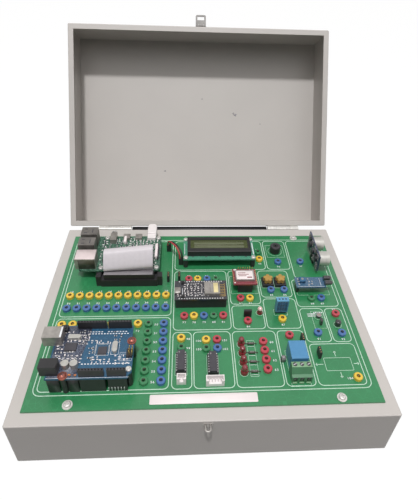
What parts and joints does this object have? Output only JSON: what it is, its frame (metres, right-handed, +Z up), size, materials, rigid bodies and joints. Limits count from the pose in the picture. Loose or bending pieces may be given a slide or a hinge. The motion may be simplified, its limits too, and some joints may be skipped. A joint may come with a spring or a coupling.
{
  "type": "internet of things trainer kit",
  "caption": "Hinged sheet-metal case with a printed circuit panel that carries a controller board, a small computer, radio boards, sensors, a display and patch sockets.",
  "frame": {"origin": "centre of the flat underside of the case's base", "axes": "+X along the front wall to the right, +Y to the hinged back wall, +Z up; the lid stands open at rest"},
  "size_m": [0.32, 0.4383, 0.2743],
  "materials": {
    "case_paint": "satin",
    "hardware_steel": "satin",
    "panel_green": "gloss",
    "socket_yellow": "gloss",
    "socket_blue": "gloss",
    "socket_green": "gloss",
    "socket_red": "gloss",
    "board_blue": "satin",
    "board_green": "satin",
    "board_dark": "satin",
    "board_red": "satin",
    "port_metal": "satin",
    "black_plastic": "matte",
    "display_glass": "gloss",
    "ribbon_grey": "satin",
    "white_plastic": "satin",
    "wire_red": "satin",
    "wire_black": "satin",
    "sensor_blue": "satin",
    "terminal_green": "satin",
    "sensor_dark": "gloss",
    "lamp_red": "gloss",
    "resistor_tan": "satin",
    "spacer_black": "satin"
  },
  "bodies": {
    "base": {"base_shell": "case_paint", "base_hinge_leaves": "hardware_steel", "base_rivets": "hardware_steel", "lock_staple": "hardware_steel", "board_screws": "hardware_steel", "panel_screws": "hardware_steel", "panel_board": "panel_green", "yellow_sockets": "socket_yellow", "blue_sockets": "socket_blue", "green_sockets": "socket_green", "red_sockets": "socket_red", "controller_board": "board_blue", "distance_sensor_board": "board_blue", "obstacle_sensor_board": "board_blue", "computer_board": "board_green", "display_board": "board_green", "supply_board": "board_green", "wifi_board": "board_dark", "radio_board": "board_red", "controller_usb_port": "port_metal", "computer_usb_ports": "port_metal", "computer_network_port": "port_metal", "computer_back_ports": "port_metal", "shield_cans": "port_metal", "controller_cans": "port_metal", "distance_sensor_eyes": "port_metal", "power_jacks": "black_plastic", "controller_headers": "black_plastic", "ribbon_headers": "black_plastic", "ribbon_plugs": "black_plastic", "switch_bodies": "black_plastic", "key_bodies": "black_plastic", "display_bezel": "black_plastic", "buzzer": "black_plastic", "chips": "black_plastic", "header_strips": "black_plastic", "display_glass": "display_glass", "ribbon_cable": "ribbon_grey", "power_plug": "white_plastic", "plug_boxes": "white_plastic", "red_jumper": "wire_red", "black_jumper": "wire_black", "climate_sensor": "sensor_blue", "relay": "sensor_blue", "screw_terminal": "terminal_green", "sensor_elements": "sensor_dark", "leds": "lamp_red", "resistors": "resistor_tan", "board_spacers": "spacer_black"},
    "lid": {"lid_shell": "case_paint", "lid_hinge_leaves": "hardware_steel", "lid_rivets": "hardware_steel", "hinge_pins": "hardware_steel", "hasp_leaf": "hardware_steel"},
    "hasp": {"hasp_plate": "hardware_steel"},
    "reset_key": {"reset_button": "black_plastic"},
    "wifi_reset_key": {"wifi_reset_button": "black_plastic"},
    "wifi_mode_key": {"wifi_mode_button": "black_plastic"},
    "left_key": {"left_key_cap": "socket_yellow"},
    "right_key": {"right_key_cap": "socket_yellow"}
  },
  "joints": [
    {"name": "lid_hinge", "type": "hinge", "parent": "base", "child": "lid", "pos_m": [0, 0.126, 0.0529], "axis": [1, 0, 0], "range_deg": [0, 121.7]},
    {"name": "hasp_swing", "type": "hinge", "parent": "lid", "child": "hasp", "pos_m": [0, 0.26242, 0.26331], "axis": [1, 0, 0], "range_deg": [-75, 90]},
    {"name": "reset_press", "type": "slide", "parent": "base", "child": "reset_key", "axis": [0, 0, 1], "range_m": [-0.00025, 0], "stiffness_N_per_m": 150, "springref_m": 0.0004},
    {"name": "wifi_reset_press", "type": "slide", "parent": "base", "child": "wifi_reset_key", "axis": [0, 0, 1], "range_m": [-0.00025, 0], "stiffness_N_per_m": 100, "springref_m": 0.0004},
    {"name": "wifi_mode_press", "type": "slide", "parent": "base", "child": "wifi_mode_key", "axis": [0, 0, 1], "range_m": [-0.00025, 0], "stiffness_N_per_m": 100, "springref_m": 0.0004},
    {"name": "left_key_press", "type": "slide", "parent": "base", "child": "left_key", "axis": [0, 0, 1], "range_m": [-0.00035, 0], "stiffness_N_per_m": 400, "springref_m": 0.0005},
    {"name": "right_key_press", "type": "slide", "parent": "base", "child": "right_key", "axis": [0, 0, 1], "range_m": [-0.00035, 0], "stiffness_N_per_m": 400, "springref_m": 0.0005}
  ]
}
